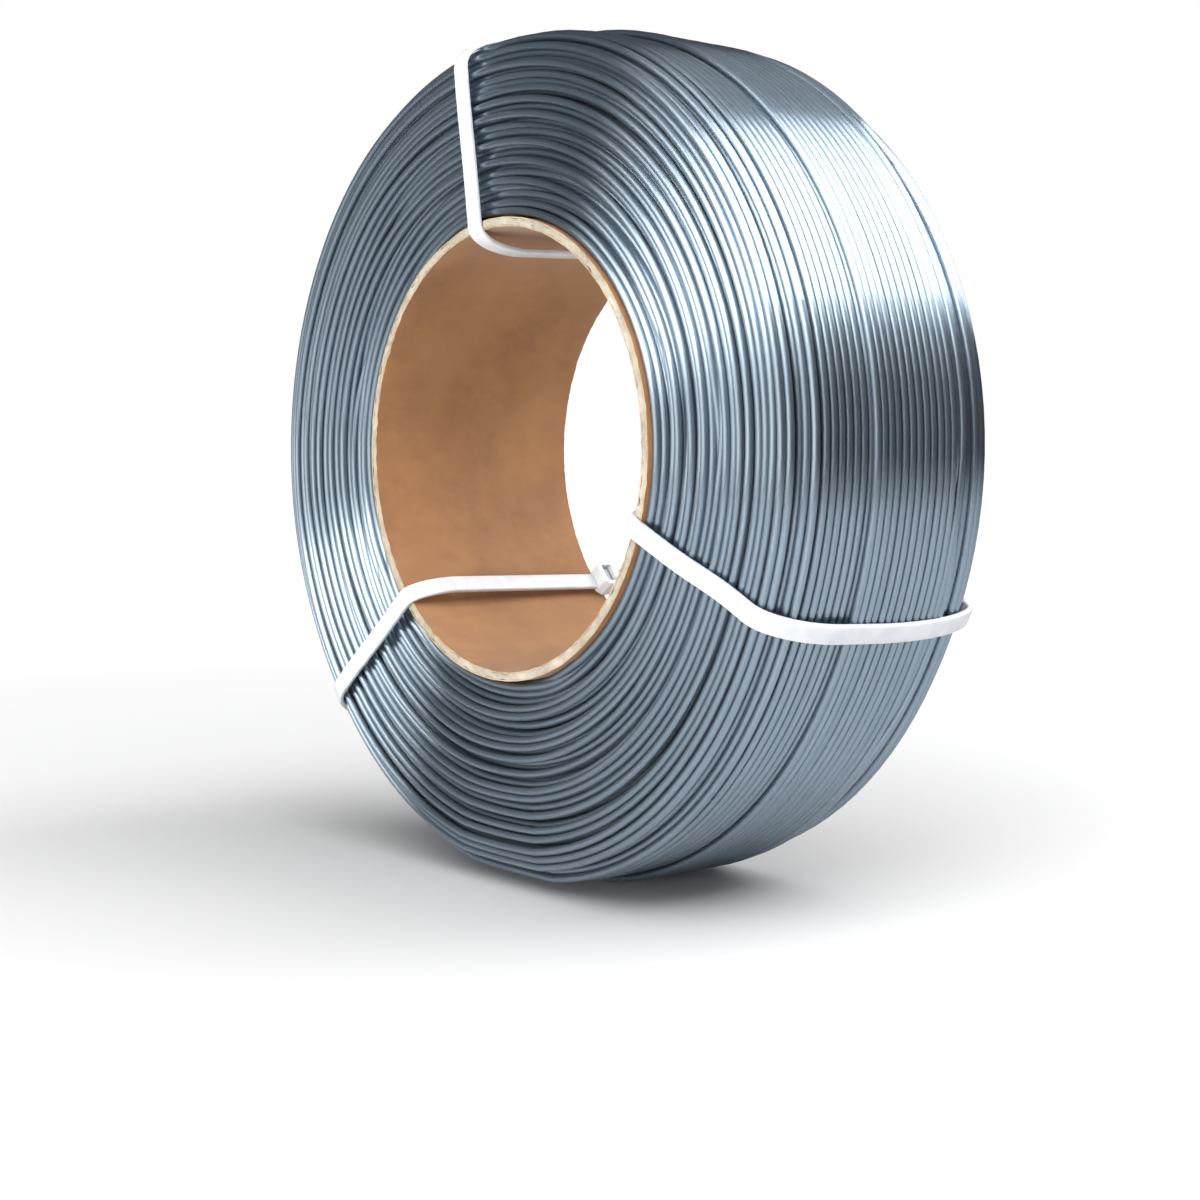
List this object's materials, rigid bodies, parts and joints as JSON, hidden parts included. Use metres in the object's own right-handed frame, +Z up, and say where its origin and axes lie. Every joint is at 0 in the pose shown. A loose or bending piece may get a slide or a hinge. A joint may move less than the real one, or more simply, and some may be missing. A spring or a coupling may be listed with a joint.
{
  "type": "filament refill reel",
  "caption": "Refill coil of 3D printer filament wound in layers on a cardboard core tube and bound by nylon cable ties, without a plastic spool.",
  "frame": {"origin": "centre of the core's bore, midway between the two ends of the core", "axes": "+Y along the bore, from the front face to the back face where the ties' heads are; +Z up as the coil stands on its rim; +X to the right of the front face"},
  "size_m": [0.1975, 0.0652, 0.1975],
  "materials": {
    "filament": "silk, satin metallic grey-blue",
    "kraft": "smooth brown kraft paper liner",
    "board": "cut grey board edge",
    "nylon": "natural white nylon, satin"
  },
  "bodies": {
    "reel": {"core_inner_liner": "kraft", "core_board": "board", "core_outer_liner": "kraft", "filament_layer_01": "filament", "filament_layer_02": "filament", "filament_layer_03": "filament", "filament_layer_04": "filament", "filament_layer_05": "filament", "filament_layer_06": "filament", "filament_layer_07": "filament", "filament_layer_08": "filament", "filament_layer_09": "filament", "filament_layer_10": "filament", "filament_layer_11": "filament", "filament_layer_12": "filament", "filament_layer_13": "filament", "filament_layer_14": "filament", "filament_layer_15": "filament", "filament_layer_16": "filament", "filament_layer_17": "filament", "filament_layer_18": "filament", "filament_layer_19": "filament", "filament_layer_20": "filament", "filament_layer_21": "filament", "filament_layer_22": "filament", "filament_layer_23": "filament", "filament_layer_24": "filament", "filament_layer_25": "filament", "filament_layer_26": "filament", "upper_tie_strap": "nylon", "upper_tie_head": "nylon", "left_tie_strap": "nylon", "left_tie_head": "nylon", "right_tie_strap": "nylon", "right_tie_head": "nylon"},
    "upper_pawl": {"upper_tie_pawl": "nylon"},
    "left_pawl": {"left_tie_pawl": "nylon"},
    "right_pawl": {"right_tie_pawl": "nylon"}
  },
  "joints": [
    {"name": "upper_pawl_flex", "type": "hinge", "parent": "reel", "child": "upper_pawl", "pos_m": [-0.00628, 0.0288, 0.04839], "axis": [-0.9917, 0, -0.1288], "range_deg": [0, 12], "stiffness_Nm_per_rad": 0.0005},
    {"name": "left_pawl_flex", "type": "hinge", "parent": "reel", "child": "left_pawl", "pos_m": [-0.03489, 0.0288, -0.03411], "axis": [0.6405, 0, -0.7679], "range_deg": [0, 12], "stiffness_Nm_per_rad": 0.0005},
    {"name": "right_pawl_flex", "type": "hinge", "parent": "reel", "child": "right_pawl", "pos_m": [0.04638, 0.0288, -0.01515], "axis": [0.4427, 0, 0.8967], "range_deg": [0, 12], "stiffness_Nm_per_rad": 0.0005}
  ]
}
